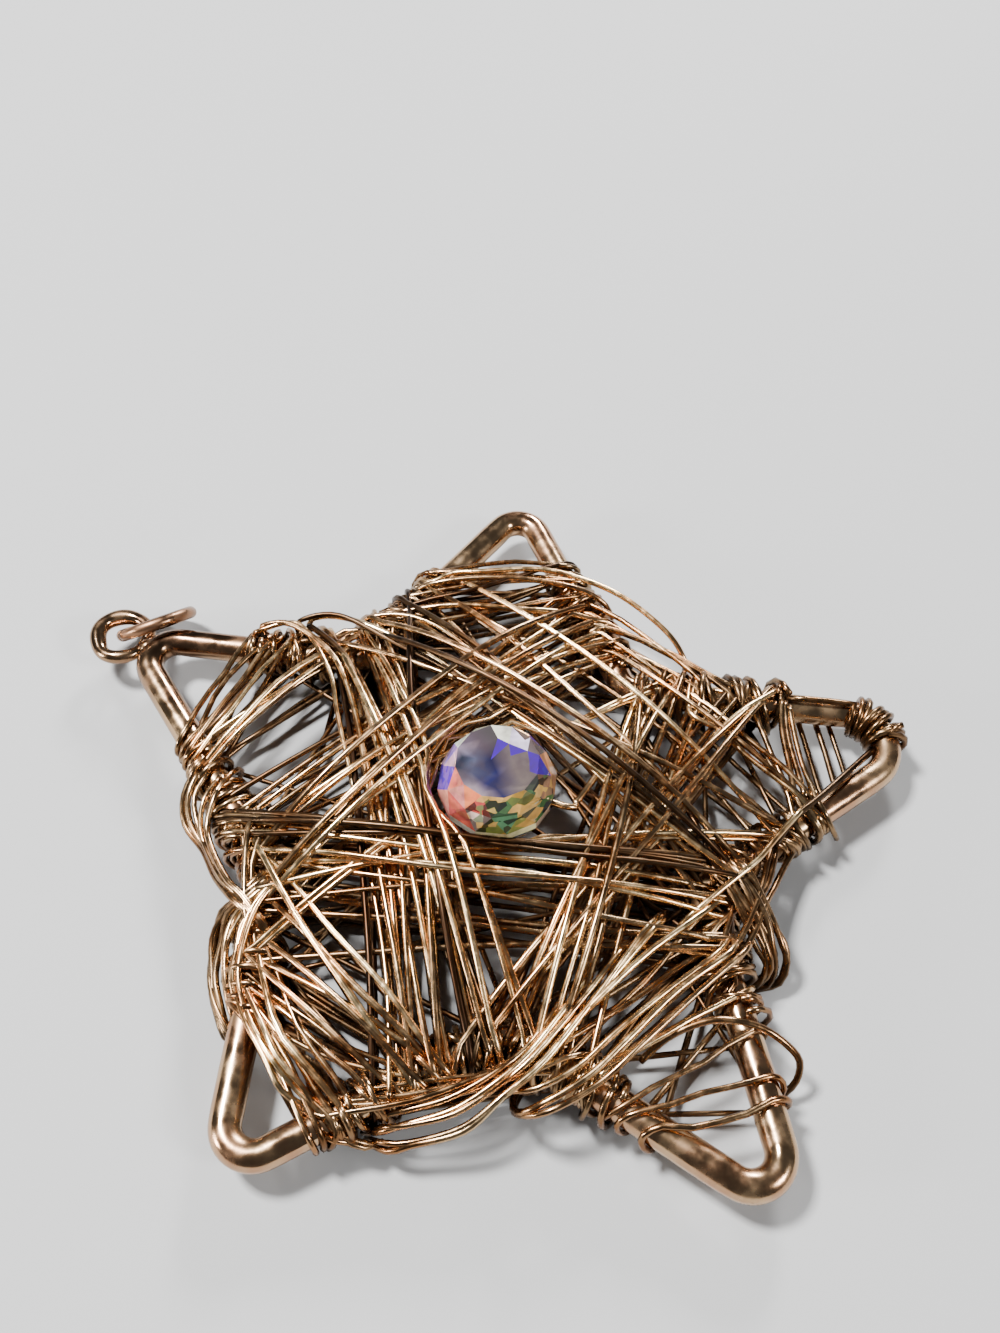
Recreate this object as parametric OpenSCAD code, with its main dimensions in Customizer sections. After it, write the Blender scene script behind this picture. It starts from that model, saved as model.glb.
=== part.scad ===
// Star pendant: a thick wire star wound with fine wire round a faceted crystal.
// The star lies flat on its back, with +Z up out of its front and +Y away from the near tips.

/* [Star frame] */
// Thickness of the star's wire
frame_wire = 1.65; // [1.4:0.05:1.7]

/* [Wrap] */
// Thickness of one wound strand, which stands for two or three fine wires side by side
strand = 0.45; // [0.4:0.05:0.6]
// Free space between the star's wire and the turns round it
wrap_gap = 0.35; // [0.3:0.05:0.4]
// Sides of a strand
strand_sides = 5; // [5:1:6]

/* [Crystal] */
// Width of the crystal across its girdle
crystal_w = 6.4; // [6:0.1:6.6]
// Height of the crystal from back to front
crystal_h = 4.8; // [4.4:0.1:5]
// Width of the flat table on its front and back
table_w = 4.4; // [3.8:0.1:4.8]
// Facets round the crystal
crystal_sides = 12; // [8:2:16]
// Width of the hole through it
drill = 0.9; // [0.7:0.1:1.2]

/* [Rings] */
// Width of the ring soldered to the tip
bail_w = 3.9; // [3.6:0.1:4.2]
// Thickness of its wire
bail_wire = 0.85; // [0.7:0.05:0.9]
// Width of the loose jump ring
jump_w = 5.0; // [4.6:0.1:5.4]
// Thickness of its wire
jump_wire = 0.75; // [0.6:0.05:0.8]

/* [Hidden] */
$fn = 48;

// Sharp corners of the star's middle line, from the looped tip round by the far side.
CORNER_X = 0;
CORNER_Y = 1;
CORNER_BEND = 2;
CORNERS = [
    // x, y, bend radius
    [-21.4, 11.2, 1.5],
    [-7.3, 9.3, 1.5],
    [2.5, 21.6, 1.4],
    [8.4, 7.2, 1.5],
    [27.2, 4.9, 2.3],
    [11.55, -5.4, 1.5],
    [14.9, -22.0, 1.5],
    [1.2, -12.9, 1.5],
    [-12.3, -20.0, 1.5],
    [-11.0, -4.8, 1.5]
];
corners = len(CORNERS);

// The first layer of turns keeps this distance from the middle of the star's wire.
turn_r = frame_wire / 2 + wrap_gap + strand / 2;
// The wire is drawn a little thinner where it is bent, and each arm runs this far into its bends.
bend_wire = frame_wire - 0.04;
bend_lap = 0.05;
// Layers of turns round an arm, and how far each stands out past the last
layers = 2;
layer_step = 0.45;
// In a layer each of these turns lies a little further out than the last, so no two lie level.
uneven = 7;
uneven_step = 0.015;
// How far a way back runs on past the turn that it joins, and how far beside it, in turns
join_lap = 0.12;
join_shift = 0.2;
// Every fourth way back is straight. The next three rise to their middles, each steeper than the last.
back_rise = 0.025;
lifts = 4;
// Length of arm that a turn takes
turn_pitch = 0.75;
// Turns that would fit between a notch and the first one
first_turn = 1.2;
// The outermost turns touch the surface that the star lies on.
frame_z = turn_r + (layers - 1) * layer_step + (uneven - 1) * uneven_step + strand / 2;

// The crystal's middle, its height over the star's wire, and the angle that its hole runs at
crystal_at = [0.85, -0.65];
crystal_lift = 3.0;
crystal_turn = -21;
crystal_z = frame_z + crystal_lift;
// Half the girdle's height and the height of the break between the facet rows, as parts of half
// the crystal's height, and the width at the break as a part of its width
girdle_part = 0.12;
break_part = 0.58;
break_width_part = 0.88;
// The soldered ring's direction from the tip, and how far it runs into the tip's wire
bail_heading = 153;
solder_lap = 0.3;
solder_bead = 1.3;
bail_r = (bail_w - bail_wire) / 2;
// The jump ring lies turned and tipped against the tip, with its far edge on the surface.
jump_at = [-20.0, 12.3];
jump_turn = 25;
jump_tip = 50;
jump_r = (jump_w - jump_wire) / 2;
// The crystal's own wire, which sticks out this far at each side before it bends away
thread = 0.4;
thread_stub = 3.7;
THREAD_LEFT = [[-5.4, -1.9, 4.0], [-4.5, -0.8, 4.5], [-3.5, 0.2, 4.9]];
THREAD_RIGHT = [[5.0, -1.7, 5.1], [5.6, -0.9, 5.1], [6.4, 0.2, 5.1], [7.6, 1.4, 5.0]];
// Sides of the crystal's wire
thread_sides = 8;
// Where along a pass it reaches its full rise
rise_from = 0.3;
// Angle between the points of a turn
turn_step = 60;
// Points along a slack length, and how far its middle dips
slack_steps = 8;
slack_sag = 0.6;
// The close coil round the right tip: its turns, and the points that draw each one
coil_turns = 5.5;
coil_points = 6;
coil_corner = 4;
coil_start_turn = 13;
coil_sweep = 95;

// Passes over the front, as they lie. An arm is counted from the looped tip. A place on an arm is
// counted in turns from the notch that it ends at, so that no two turns share one. The rise is how
// high a pass stands above the arms in its middle.
FROM_ARM = 0;
FROM_TURN = 1;
TO_ARM = 2;
TO_TURN = 3;
RISE = 4;
PASSES = [
    // from arm, turn, to arm, turn, rise
    // across the base of the looped tip
    [9, 12, 0, 7, 0.1],
    [9, 11, 0, 5, 0.5],
    [9, 9, 1, 1, 0.9],
    // from the left side to the far tip
    [9, 7, 2, 6, 1.2],
    [9, 3, 2, 3, 1.7],
    [8, 0, 2, 8, 2.2],
    [1, 3, 2, 10, 0.7],
    [1, 9, 2, 12, 0.1],
    // from the looped side to the near edge
    [0, 0, 7, 7, 1.1],
    [1, 0, 7, 1, 1.6],
    [1, 4, 7, 5, 2.1],
    // past the far side of the crystal to the right
    [1, 5, 5, 0, 1.9],
    [1, 8, 4, 6, 1.4],
    [2, 4, 4, 9, 0.5],
    // across the right tip
    [3, 3, 4, 10, 1.0],
    [3, 8, 4, 7, 0.2],
    [3, 11, 4, 11, 0.2],
    [3, 13, 4, 12, 0.0],
    // down the right of the crystal
    [3, 9, 7, 0, 1.5],
    [3, 1, 6, 1, 2.2],
    [3, 4, 6, 4, 0.9],
    // across the near right tip
    [5, 2, 6, 2, 0.3],
    [5, 10, 6, 9, 0.3],
    [5, 15, 6, 11, 0.1],
    [5, 8, 7, 3, 0.8],
    // along the near edge and across the near left tip
    [6, 3, 7, 10, 0.1],
    [7, 12, 8, 9, 0.1],
    [7, 8, 8, 6, 0.6],
    [7, 6, 9, 1, 1.3],
    // right across below the crystal
    [5, 1, 9, 0, 2.4],
    [5, 4, 8, 3, 1.6],
    // round the outside of the notches
    [9, 2, 8, 4, 0.2],
    [0, 3, 1, 6, 0.0],
    [2, 5, 3, 6, 0.1],
    [4, 3, 5, 6, 0.0]
];

// Slack lengths that spring clear of the net between two turns. The bow is how far they stand out.
BOW = 4;
SLACK = [
    // from arm, turn, to arm, turn, bow
    [2, 10, 3, 3, 2.6],
    [5, 8, 5, 15, 1.7],
    [6, 3, 7, 10, 1.5]
];

function corner(i) = CORNERS[(i + corners) % corners];
function corner_xy(i) = [corner(i)[CORNER_X], corner(i)[CORNER_Y]];
function unit(v) = v / norm(v);
function turned(v) = [-v.y, v.x];
function arm_dir(i) = unit(corner_xy(i + 1) - corner_xy(i));
// Where a turn sits on an arm. The even arms run in to a notch, and the odd ones out from it.
function turn_place(i, turn) =
    let (from_notch = (turn + first_turn) * turn_pitch)
        i % 2 == 0 ? corner_xy(i + 1) - arm_dir(i) * from_notch
                   : corner_xy(i) + arm_dir(i) * from_notch;
// Angle that the wire turns through at a corner, left turns counted up
function corner_turn(i) =
    let (a = arm_dir(i - 1), b = arm_dir(i)) atan2(a.x * b.y - a.y * b.x, a * b);
// Length of arm that a corner's bend takes
function bend_reach(i) = corner(i)[CORNER_BEND] * tan(abs(corner_turn(i)) / 2);

// The middle of a corner's bend, and the point on the wire's middle line nearest to the corner
function bisector(i) = unit(arm_dir(i) - arm_dir(i - 1));
function bend_centre(i) =
    corner_xy(i) + bisector(i) * corner(i)[CORNER_BEND] / cos(abs(corner_turn(i)) / 2);
function bend_apex(i) = bend_centre(i) - bisector(i) * corner(i)[CORNER_BEND];
bail_at = bend_apex(0) + [cos(bail_heading), sin(bail_heading)]
    * (bail_r + (bail_wire + frame_wire) / 2 - solder_lap);

// Points of a strand that comes up round the far side of an arm, ends on top of it and leads away
// along lead
function turn_round(arm, turn, lead, r) =
    let (
        along = arm_dir(arm),
        side = turned(along) * sign(turned(along) * lead),
        foot = turn_place(arm, turn),
        drift = -(lead * along) * r
    )
    [for (a = [-90 : turn_step : 90])
        let (flat = foot - side * r * cos(a) + along * drift * cos(a))
            [flat.x, flat.y, frame_z + r * sin(a)]];

// How far pass i's turns lie from the middle of the star's wire
function pass_r(i) = turn_r + (i % layers) * layer_step + (i % uneven) * uneven_step;

function pass_start(i) = turn_place(PASSES[i][FROM_ARM], PASSES[i][FROM_TURN]);
function pass_end(i) = turn_place(PASSES[i][TO_ARM], PASSES[i][TO_TURN]);

// One pass over the front with its turn round the arm at each end
function front_pass(i) =
    let (
        p = PASSES[i],
        a = pass_start(i),
        b = pass_end(i),
        lead = unit(b - a),
        r = pass_r(i),
        top = frame_z + r + p[RISE]
    )
    concat(
        turn_round(p[FROM_ARM], p[FROM_TURN], lead, r),
        [for (s = [rise_from, 1 - rise_from]) let (m = a + (b - a) * s) [m.x, m.y, top]],
        reversed(turn_round(p[TO_ARM], p[TO_TURN], -lead, r))
    );
function reversed(list) = [for (k = [len(list) - 1 : -1 : 0]) list[k]];

// Directions along a path, and a sideways vector at each point that doesn't twist
function tangents(path) =
    [for (k = [0 : len(path) - 1])
        unit(path[min(k + 1, len(path) - 1)] - path[max(k - 1, 0)])];
function square_to(v, t) = unit(v - (v * t) * t);
function frames(t, k, side) =
    k == len(t) ? [] : let (s = square_to(side, t[k])) concat([s], frames(t, k + 1, s));

// A strand of few sides along a path, closed at both ends
module wire_along(path, width, sides) {
    t = tangents(path);
    first = abs(t[0].z) < 0.9 ? cross([0, 0, 1], t[0]) : cross([1, 0, 0], t[0]);
    side = frames(t, 0, unit(first));
    n = len(path);
    points = [for (k = [0 : n - 1], j = [0 : sides - 1])
        let (a = 360 * j / sides, other = cross(t[k], side[k]))
            path[k] + width / 2 * (cos(a) * side[k] + sin(a) * other)];
    walls = [for (k = [0 : n - 2], j = [0 : sides - 1])
        let (a = k * sides + j, b = k * sides + (j + 1) % sides)
            [a, a + sides, b + sides, b]];
    ends = [
        [for (j = [0 : sides - 1]) j],
        [for (j = [sides - 1 : -1 : 0]) (n - 1) * sides + j]
    ];
    polyhedron(points, concat(walls, ends), convexity = 6);
}

// A ring of round wire, lying flat round the origin
module round_ring(r, wire) {
    rotate_extrude() translate([r, 0]) circle(d = wire);
}

// The star's wire: a straight length for each arm and a bend at each corner
module star_wire() {
    for (i = [0 : corners - 1]) {
        a = arm_dir(i);
        start = corner_xy(i) + a * (bend_reach(i) - bend_lap);
        finish = corner_xy(i + 1) - a * (bend_reach(i + 1) - bend_lap);
        translate([start.x, start.y, frame_z])
            rotate([0, 90, atan2(a.y, a.x)])
                cylinder(d = frame_wire, h = norm(finish - start));
        bend(i);
    }
}

// The bend at corner i, which ends just inside its arms
module bend(i) {
    turn = corner_turn(i);
    a = arm_dir(i);
    middle = bend_centre(i);
    heading = atan2(a.y, a.x) - 90 * sign(turn);
    translate([middle.x, middle.y, frame_z])
        rotate([0, 0, heading - (turn > 0 ? turn : 0)])
            rotate_extrude(angle = abs(turn))
                translate([corner(i)[CORNER_BEND], 0]) circle(d = bend_wire);
}

// The ring for a chain, soldered to the tip with a bead of solder
module bail() {
    joint = bail_at + unit(bend_apex(0) - bail_at) * (bail_r + bail_wire / 2);
    translate([bail_at.x, bail_at.y, frame_z]) round_ring(bail_r, bail_wire);
    translate([joint.x, joint.y, frame_z]) sphere(d = solder_bead);
}

module star_frame() {
    color("goldenrod") {
        star_wire();
        bail();
    }
}

module jump_ring() {
    rest_z = jump_wire / 2 + jump_r * sin(jump_tip);
    color("rosybrown")
        translate([jump_at.x, jump_at.y, rest_z])
            rotate([-jump_tip, 0, jump_turn])
                round_ring(jump_r, jump_wire);
}

module wire_wrap() {
    color("peru") {
        for (i = [0 : len(PASSES) - 1]) {
            back = way_back(i);
            if (lift_step(i) == 0) {
                wire_along(front_pass(i), strand, strand_sides);
                hull() wire_along([back[0], back[2]], strand, strand_sides);
            } else {
                wire_along(concat(front_pass(i), [back[1], back[2]]), strand, strand_sides);
            }
        }
        for (s = SLACK) wire_along(slack_path(s), strand, strand_sides);
        wire_along(coil_path(), strand, strand_sides);
    }
}

// A slack length between two turns, bowed out from the crystal
function slack_path(s) =
    let (
        a = turn_place(s[FROM_ARM], s[FROM_TURN]),
        b = turn_place(s[TO_ARM], s[TO_TURN]),
        across = turned(unit(b - a)),
        out = across * sign(across * (a - crystal_at)),
        top = frame_z + turn_r + layer_step / 2
    )
    [for (k = [0 : slack_steps])
        let (f = k / slack_steps, m = a + (b - a) * f + out * s[BOW] * sin(180 * f))
            [m.x, m.y, top - slack_sag * sin(180 * f)]];

// A helix that starts at a turn's top, runs out along that arm and goes on round the coil's corner
function coil_path() =
    let (
        along = arm_dir(coil_corner - 1),
        hand = sign(corner_turn(coil_corner)),
        away = turned(along) * -hand,
        start = turn_place(coil_corner - 1, coil_start_turn),
        bend_from = corner_xy(coil_corner) - along * bend_reach(coil_corner),
        straight = norm(bend_from - start),
        r = corner(coil_corner)[CORNER_BEND],
        length = straight + r * coil_sweep * PI / 180,
        steps = coil_turns * coil_points
    )
    concat([[start.x, start.y, frame_z + turn_r + layer_step]], [for (k = [1 : steps])
        let (
            d = length * k / steps,
            angle = max(0, d - straight) / r * 180 / PI * hand,
            out = away * cos(angle) + turned(away) * sin(angle),
            foot = d < straight ? start + along * d : bend_centre(coil_corner) + out * r,
            phase = 90 + 360 * k / coil_points,
            flat = foot + out * turn_r * cos(phase)
        )
        [flat.x, flat.y, frame_z + turn_r * sin(phase)]]);

// The way back under the star from the end of one pass to the start of the next: its two ends and
// its middle
function way_back(i) =
    let (
        next = (i + 1) % len(PASSES),
        a = under_arm(pass_end(i), i),
        to = PASSES[next],
        b = under_arm(turn_place(to[FROM_ARM], to[FROM_TURN] + join_shift), next),
        lift = back_rise * lift_step(i) * norm(b - a),
        mid = (a + b) / 2 + [0, 0, lift]
    )
    [a + unit(a - mid) * join_lap, mid, b + unit(b - mid) * join_lap];
function lift_step(i) = (i + 1) % lifts;
function under_arm(place, i) = [place.x, place.y, frame_z - pass_r(i)];

// One ring of the crystal's points, turned by half a facet where half is 1
function gem_ring(width, z, half) =
    [for (k = [0 : crystal_sides - 1])
        let (angle = 360 * (k + half / 2) / crystal_sides)
            [width / 2 * cos(angle), width / 2 * sin(angle), z]];

// A round bead cut with a table front and back and two rows of facets on each side of the girdle
module crystal() {
    top = crystal_h / 2;
    break_w = crystal_w * break_width_part;
    points = concat(
        gem_ring(table_w, top, 0),
        gem_ring(break_w, top * break_part, 1),
        gem_ring(crystal_w, top * girdle_part, 0),
        gem_ring(crystal_w, -top * girdle_part, 0),
        gem_ring(break_w, -top * break_part, 1),
        gem_ring(table_w, -top, 0)
    );
    color("lavender")
        translate([crystal_at.x, crystal_at.y, crystal_z])
            rotate([0, 0, crystal_turn])
                difference() {
                    hull() polyhedron(points, [[for (k = [0 : len(points) - 1]) k]]);
                    rotate([0, 90, 0]) cylinder(d = drill, h = 2 * crystal_w, center = true);
                }
}

module bead_wire() {
    half = thread_stub * [cos(crystal_turn), sin(crystal_turn)];
    left = crystal_at - half;
    right = crystal_at + half;
    path = concat(
        THREAD_LEFT,
        [[left.x, left.y, crystal_z], [right.x, right.y, crystal_z]],
        THREAD_RIGHT
    );
    color("peachpuff") wire_along(path, thread, thread_sides);
}

star_frame();
jump_ring();
wire_wrap();
crystal();
bead_wire();
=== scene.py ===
"""Star pendant: fine wire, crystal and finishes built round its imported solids."""

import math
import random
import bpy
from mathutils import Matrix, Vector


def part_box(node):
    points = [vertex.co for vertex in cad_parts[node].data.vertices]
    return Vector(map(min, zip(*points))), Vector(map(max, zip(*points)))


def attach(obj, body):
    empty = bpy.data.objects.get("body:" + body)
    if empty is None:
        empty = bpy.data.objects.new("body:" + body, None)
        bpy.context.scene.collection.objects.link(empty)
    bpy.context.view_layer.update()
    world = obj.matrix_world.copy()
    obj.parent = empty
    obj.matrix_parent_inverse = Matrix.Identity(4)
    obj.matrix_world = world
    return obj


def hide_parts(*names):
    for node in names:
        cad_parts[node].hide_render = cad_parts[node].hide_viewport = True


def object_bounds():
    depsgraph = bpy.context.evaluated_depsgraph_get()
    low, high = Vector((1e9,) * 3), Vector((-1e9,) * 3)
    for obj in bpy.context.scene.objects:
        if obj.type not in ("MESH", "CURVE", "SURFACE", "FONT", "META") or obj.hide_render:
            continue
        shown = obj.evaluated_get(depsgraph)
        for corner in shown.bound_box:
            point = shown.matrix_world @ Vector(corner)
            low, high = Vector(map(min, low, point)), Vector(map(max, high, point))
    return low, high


bl_info = {
    "name": "Star pendant",
    "version": (1, 0, 0),
    "blender": (4, 5, 0),
    "location": "View3D > Sidebar > Pendant",
    "description": "Winds, sets and finishes a wire star pendant with a faceted crystal",
    "category": "Add Mesh",
}

import bmesh
import bpy
import numpy as np
from bpy.props import FloatProperty, FloatVectorProperty, IntProperty, PointerProperty
from bpy.types import Operator, Panel, PropertyGroup
from mathutils import Vector
from mathutils.geometry import delaunay_2d_cdt

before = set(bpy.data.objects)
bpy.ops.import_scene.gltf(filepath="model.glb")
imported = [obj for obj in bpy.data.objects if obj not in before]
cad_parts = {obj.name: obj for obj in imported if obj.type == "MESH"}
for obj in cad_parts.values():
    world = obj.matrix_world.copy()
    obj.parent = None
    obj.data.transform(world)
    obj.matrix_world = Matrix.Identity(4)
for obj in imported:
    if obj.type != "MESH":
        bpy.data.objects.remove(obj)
CAD_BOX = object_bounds()

MM = 0.001
RIGHT, FAR, UP = np.eye(3)


def box_mm(node):
    """Lowest and highest corner of a solid, in millimetres."""
    low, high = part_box(node)
    return np.array(low) / MM, np.array(high) / MM


STAR_LOW, STAR_HIGH = box_mm("star_frame")
FRAME_Z = (STAR_LOW[2] + STAR_HIGH[2]) / 2
FRAME_WIRE = STAR_HIGH[2] - STAR_LOW[2]
GEM_LOW, GEM_HIGH = box_mm("crystal")
GEM_AT = (GEM_LOW + GEM_HIGH) / 2
GEM_HALF = (GEM_HIGH[2] - GEM_LOW[2]) / 2
GEM_WIDTH = 6.4
# The way that the crystal's hole runs, in degrees
GEM_TURN = -21

# Sharp corners of the star's middle line with the radius of each bend, from the looped tip
# round by the far side.
CORNERS = [
    (-21.4, 11.2, 1.5),
    (-7.3, 9.3, 1.5),
    (2.5, 21.6, 1.4),
    (8.4, 7.2, 1.5),
    (27.2, 4.9, 2.3),
    (11.55, -5.4, 1.5),
    (14.9, -22.0, 1.5),
    (1.2, -12.9, 1.5),
    (-12.3, -20.0, 1.5),
    (-11.0, -4.8, 1.5),
]
BEND_STEPS = 14
# Along an arm, the room for one turn of wire, and the turns left free at the notch
TURN_PITCH = 0.75
FIRST_TURN = 1.2
# In wire widths, how near two turns of one layer may lie, and how far out the next layer lies
TURN_ROOM = 0.92
LAYER_STEP = 0.88
# Points round one turn of a close winding
TURN_STEPS = 12
# Where the star's plate is worn brown, beside the soldered ring, and how far that reaches
WORN_AT = (-18.2, 10.9)
WORN_REACH = 4.5
# The soldered ring: the way out to it in degrees, its radius, its wire, and how far it is sunk
RING_HEADING, RING_RADIUS, RING_WIRE, RING_SUNK = 153, 1.525, 0.85, 0.3
# How far from the crystal's middle the front wires pass beside its girdle
KEEP_CLEAR = 3.85

# The net's main lays: arm and turn that a bundle leaves, arm and turn that it goes to, how high
# its middle stands, how far it bows sideways, its wires, and how much they fan out.
LAYS = [
    (9, 12, 0, 7, 0.1, 0.2, 2, 1), (9, 11, 0, 5, 0.5, -0.3, 2, 1), (9, 10, 1, 0, 0.9, 0.3, 2, 0.6),
    (9, 4, 2, 7, 1.4, 0.2, 3, 1.2), (9, 2, 2, 3, 1.7, 0.2, 3, 1.4), (8, 0, 2, 8, 2.2, 0, 3, 1.2),
    (1, 3, 2, 10, 0.7, -0.4, 4, 1), (1, 8.5, 2, 11, 0.1, -0.1, 2, 0.8), (0, 0, 7, 7, 1.1, 0, 2, 1.4),
    (1, 0, 7, 1, 1.8, 0.4, 4, 1.4), (1, 4, 7, 4, 2.1, -0.2, 3, 1.6), (1, 5, 5, 0, 1.9, 0.2, 3, 1),
    (1, 8, 4, 6, 1.4, 0.3, 2, 1), (2, 4, 4, 9, 0.5, 0.2, 1, 1), (3, 3, 4, 10, 1, 0, 1, 1),
    (3, 8, 4, 7, 0.2, 0.2, 1, 1), (3, 8, 7, 0, 1.5, 0.2, 4, 1), (3, 1, 6, 1, 2.2, 0.2, 4, 1),
    (3, 4, 6, 4, 0.9, -0.2, 3, 1), (5, 2, 6, 2, 0.3, 0.3, 3, 1), (5, 9.2, 6, 8.3, 0.3, 0.2, 1, 1),
    (5, 13.6, 6, 10.7, 0.1, 0.1, 1, 1), (5, 3, 8, 2, 0.3, 0.2, 1, 1), (6, 3, 7, 10, 0.1, 0.3, 4, 1),
    (7, 12, 8, 9, 0.1, 0.1, 2, 1), (7, 8, 8, 6, 0.6, 0.4, 5, 1), (7, 5, 9, 1, 1.1, 0.3, 2, 1.6),
    (5, 1, 9, 0, 2.4, 0.3, 4, 1), (5, 4, 8, 1, 1, 0.2, 2, 1), (9, 2, 8, 4, 0.2, 0, 3, 1.4),
    (0, 2, 1, 2, 0, 0.1, 4, 0.6), (2, 5, 3, 6, 0.1, 0.1, 4, 1), (4, 2, 5, 4, 0, 0.1, 4, 1),
]
# Single wires that lie on top: arm and turn that each leaves and goes to, how high its middle
# stands, how far it bows, and its finish from dark to bright.
# Painted shade darkens these finishes where a wire lies deep in the net; finishes above 1 keep a wire bright
# there.
TOP_WIRES = [
    (0, 6, 9, 11.4, 0.3, 0.2, 0.62), (0, 4.3, 9, 10.4, 0.5, 0.1, 0.95), (0, 0.4, 9, 9.4, 0.8, -0.2, 0.7),
    (9, 9, 1, 0.3, 1, 0.2, 0.6), (1, 0, 6, 0.2, 2.6, 0.5, 0.95), (1, -0.4, 7, -0.2, 2.5, 0.6, 0.8),
    (0, 0, 7, 0.4, 2.4, 0.5, 0.5), (0, 0.6, 7, 1, 2.3, 0.6, 0.9), (1, 1, 7, 5.3, 1.6, 0.3, 0.45),
    (0, 0.2, 7, 5.5, 1.4, 0.2, 0.5), (0, -0.2, 7, 3, 2, 0.4, 0.7), (9, 4.2, 4, 0.8, 2.7, -1.3, 0.02),
    (9, 3.7, 4, 1.3, 2.1, -1.2, 0.1), (9, 3.2, 4, 0.2, 2.6, -0.9, 0.02), (9, 3.1, 4, 2.2, 1.6, -1.3, 0.5),
    (8, 5.5, 5, 4, 0.6, 0.2, 0.3), (8, 0.6, 2, 5, 2.9, 0.1, 0.42), (9, 0.4, 2, 6.6, 2.8, 0.5, 0.3),
    (8, 1.6, 2, 3.9, 2.9, -0.1, 0.75), (8, 7.6, 7, 11.1, 0.3, 0.1, 0.65), (8, 5.5, 7, 7.2, 0.7, -0.1, 0.5),
    (8, 3.6, 7, 5.7, 1, 0.1, 0.4), (8, 7.7, 7, 12.2, 0.2, 0.2, 0.3), (8, 0.8, 7, 4.2, 1.3, -0.2, 0.55),
    (8, 5.3, 7, 4.4, 0.9, 0.2, 0.65), (8, 4.5, 3, 2, 2, 0.4, 1), (8, 5, 3, 1.4, 1.9, 0.3, 0.9),
    (1, 1.4, 6, 1.3, 2, -0.2, 0.6), (6, 1.3, 3, 0, 2.2, 0.2, 0.75), (6, 2.1, 5, 1, 0.9, 0.1, 0.9),
    (6, 5.7, 5, 4.3, 0.6, 0.2, 1.5), (6, 5.1, 5, 7.1, 0.5, -0.1, 1.7), (6, 9, 5, 12.6, 0, 0, 0.6),
    (1, 9, 2, 9.5, 0.2, 0, 0.5), (1, 6, 2, 9.4, 0.3, 0.2, 0.62), (1, 3.5, 2, 4.9, 0.8, 0.1, 0.7),
    (9, 0.5, 2, 2.5, 2.4, 0.2, 0.55), (8, 0.2, 2, 1.1, 2.3, 0, 0.6), (1, 0.4, 4, 0.9, 3, 0.2, 0.02),
    (1, 0.9, 4, 0.3, 3, 0.35, 0.08), (1, 1.6, 4, 1.8, 2.7, 0.5, 0.45), (1, 7, 4, 1.6, 2, 0.3, 0.5),
    (2, 1.5, 4, 9.1, 0.9, 0, 0.4), (7, 2, 3, 9.3, 1.8, 0.2, 0.6), (0, 0.5, 4, 6.2, 2, -0.2, 0.4),
    (9, 3, 4, 4.6, 1.9, -1.2, 0.5), (8, 0.5, 4, 5.2, 1.7, 0.2, 0.65), (8, 1.5, 5, 0.3, 1, 0.3, 0.2),
]
# Wires wound round one arm: the arm, its first and last turn, how many times round, how far out
# of the first layer, and the finish
WINDINGS = [
    (0, 0.5, 7.4, 8, 0.2, 0.45), (0, 0, 6.6, 3, 0.4, 0.6), (1, 3, 8.5, 7, 0.05, 0.5),
    (1, 1, 8, 3, 0.3, 0.35), (2, 1, 10.5, 9, 0.1, 0.55), (2, 0.5, 8.5, 4, 0.35, 0.4),
    (3, 0, 10.6, 12, 0.15, 0.2), (3, 0.5, 10.4, 5, 0.4, 0.12), (3, 3, 10.7, 3, 0.5, 0.3),
    (4, -0.4, 7, 6, 0.1, 0.15), (4, 0.5, 9.5, 4, 0.2, 0.2), (5, -0.4, 7.5, 9, 0.2, 0.5),
    (5, 1, 9, 4, 0.4, 0.4), (6, 0, 7.6, 8, 0.15, 0.45), (6, 0.5, 7, 3, 0.4, 0.3), (7, 0, 11, 11, 0.15, 0.5),
    (7, 2, 10.5, 4, 0.35, 0.4), (8, -0.4, 8.5, 9, 0.2, 0.5), (8, 0.5, 8.5, 4, 0.4, 0.35),
    (9, -0.4, 9.3, 10, 0.2, 0.5), (9, 1, 9.5, 4, 0.4, 0.6),
]
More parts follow.
